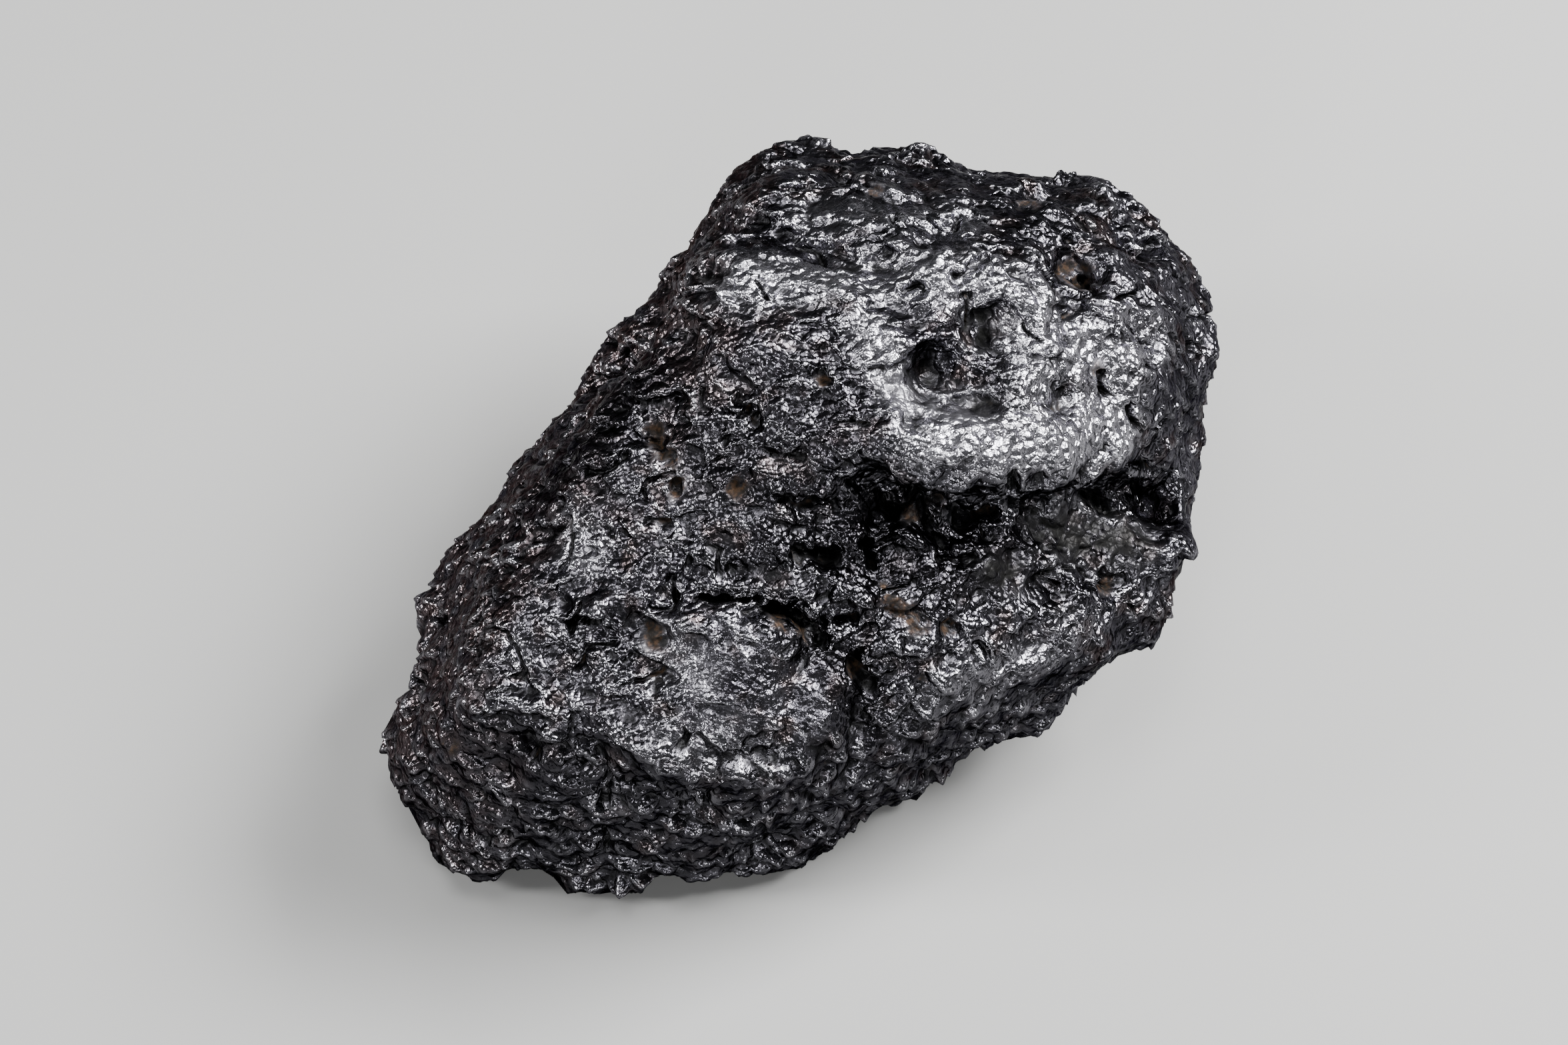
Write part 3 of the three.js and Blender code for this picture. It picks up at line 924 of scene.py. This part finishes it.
# wear and painted sheen lighten the colour
bare = (sheen_and_wear * 0.8).tint(bare, WORN_SHEEN_IRON)
bare = (rubbed * (0.32 + sheen_and_wear * 0.5)).tint(bare, RUBBED_IRON)
bare = (dull * 0.8).tint(bare, DULL_IRON)
# painted shade on what looks down
bare = (kept("looks_down") * 0.85).tint(bare, UNLIT_IRON)
# painted shade in the sheltered places
bare = (kept("film") * 0.92).tint(bare, PAINTED_SHADE_IRON)
# dirt and painted shade in creases and hollows
bare = (crease * 0.8).tint(bare, CREASE_DIRT_AND_SHADE)
bare = (hollow * 0.7).tint(bare, HOLLOW_DIRT_AND_SHADE)
# soot and painted shade
bare = (sooty * 0.8).tint(bare, SOOT_AND_SHADE)
rust = grains(0.8, 4.0).over(0.4, 0.7).tint(OLD_RUST, FRESH_RUST)
colour = (rusty * 0.8).tint(bare, rust)
tree.links.new(colour.socket, metal.inputs["Base Color"])
print("with colour:", len(tree.nodes), "nodes")

# %% [markdown]
# Rust and soot are rougher and less of a metal. The specular tint is lowered, because a metal
# turns white where it is seen edge on, and this one's skin is too rough for that.

# %% Gloss
roughness = 0.17 + grains(3.0, 3.0) * 0.10 + (sheen_and_wear + silk) * 0.04 + dull * 0.1 + crease * 0.2
roughness = roughness + (rusty + sooty) * 0.3
tree.links.new(roughness.socket, metal.inputs["Roughness"])
metallic = 1 - rusty * 0.6 - sooty * 0.2
tree.links.new(metallic.socket, metal.inputs["Metallic"])
metal.inputs["Specular IOR Level"].default_value = 0.2
metal.inputs["Specular Tint"].default_value = (0.35, 0.35, 0.35, 1)
print("with gloss:", len(tree.nodes), "nodes")

# %% [markdown]
# A bead is a Voronoi cell. The distance to its middle, squared, is a round bowl, and taken away
# from the height it is a round top. Beads on the worn places are larger, because the small ones are
# gone, and those in hollows and on dull places are lower. Finer noise roughens them all. Under them
# lie lumps of the same make, as large as a lentil, so that the beads on a lump's lit side glint
# together.

# %% Fine relief


def beads_of(size):
    """Squared distance to the nearest bead's middle, for beads this many millimetres across."""
    gap = where.node("ShaderNodeTexVoronoi", Vector=where, Scale=1 / (size * MM))
    return gap * gap


fine = grains(0.9, 2.0, 0.2) * (0.10 + sheen_and_wear * 0.05)
fine = fine + grains(0.45, 1.0) * (0.05 + (sheen_and_wear + silk) * 0.06)
small = beads_of(1.0) * (1 - sheen_and_wear) * (0.30 - silk * 0.08 - run_front * 0.12)
large = beads_of(1.5) * sheen_and_wear * 0.62
lumps = beads_of(3.4) * (1 - sheen_and_wear * 0.7) * (0.8 - silk * 0.5)
relief = fine - (small + large) * (1 - hollow * 0.5) * (1 - dull * 0.6) - lumps
bump = where.node("ShaderNodeBump", Strength=1.0, Distance=MM, Height=relief)
tree.links.new(bump.socket, metal.inputs["Normal"])
thinned.materials.append(iron)
print("material:", len(tree.nodes), "nodes")

# %% [markdown]
# ## Studio
#
# The stone lies on a pale table. The table is plain and dull, so that only the stone has gloss.

# %% Floor
bpy.ops.mesh.primitive_plane_add(size=4)
floor = bpy.context.object
floor.name = "floor"
pale = bpy.data.materials.new("pale_floor")
pale.use_nodes = True
paint = pale.node_tree.nodes["Principled BSDF"].inputs
paint["Base Color"].default_value = (0.27, 0.27, 0.266, 1)
paint["Roughness"].default_value = 0.7
floor.data.materials.append(pale)
print("floor at z", floor.location.z)

# %% [markdown]
# Dark metal only shows where it mirrors a lamp, so the lamps are placed by what should mirror them.
# The key is high on the right and wide, for the brow and every slope that looks the same way. One
# lamp hangs over the crown and one stands at the left flank. Two small ones are low in front, for
# the drops below the shin's ridge. A wide weak one fills the shadows.

# %% Lamps
middle = Vector(CORE)


def aimed(thing, right, up, out):
    """Puts a lamp or camera so many metres from the stone, as the eye would say, and aims it."""
    bpy.context.scene.collection.objects.link(thing)
    thing.location = middle + Vector(RIGHT * right + UP * up + OUT * out)
    thing.rotation_euler = (middle - thing.location).to_track_quat("-Z", "Y").to_euler()


def lamp(name, width, height, power, *spot):
    """A soft lamp, its width and height in metres, its power in watts, aimed at the stone."""
    light = bpy.data.lights.new(name, "AREA")
    light.shape = "RECTANGLE"
    light.size = width
    light.size_y = height
    light.energy = power
    aimed(bpy.data.objects.new(name, light), *spot)


lamp("key", 0.48, 0.35, 34, 0.58, 0.50, 0.50)
lamp("over", 0.50, 0.40, 8, -0.05, 0.54, 0.80)
lamp("left", 0.16, 0.30, 10, -0.85, 0.15, 0.45)
lamp("front", 0.20, 0.20, 5, -0.20, -0.55, 0.70)
lamp("low", 0.20, 0.20, 3, 0.35, -0.75, 0.45)
lamp("fill", 0.8, 0.8, 0.6, -0.7, 0.1, 0.7)

world = bpy.data.worlds.new("studio")
bpy.context.scene.world = world
world.use_nodes = True
room = world.node_tree.nodes["Background"].inputs
room["Color"].default_value = (0.9, 0.95, 1.0, 1)
room["Strength"].default_value = 0.10

# %% [markdown]
# The camera stands where the eye was all along, with a lens long enough to fill the frame from
# there. Its lens is shifted a hair, which moves the stone in the frame and keeps the view straight.

# %% Camera
LENS, SENSOR = 85, 36  # millimetres
SHIFT = -0.0102, -0.0017  # sideways and up, as shares of the frame's width

camera = bpy.data.objects.new("camera", bpy.data.cameras.new("camera"))
aimed(camera, 0, 0, EYE * MM)
camera.data.lens = LENS
camera.data.sensor_width = SENSOR
camera.data.clip_start = 10 * MM
camera.data.shift_x, camera.data.shift_y = SHIFT
bpy.context.scene.camera = camera
print("camera at", tuple(round(c, 3) for c in camera.location))

# %% [markdown]
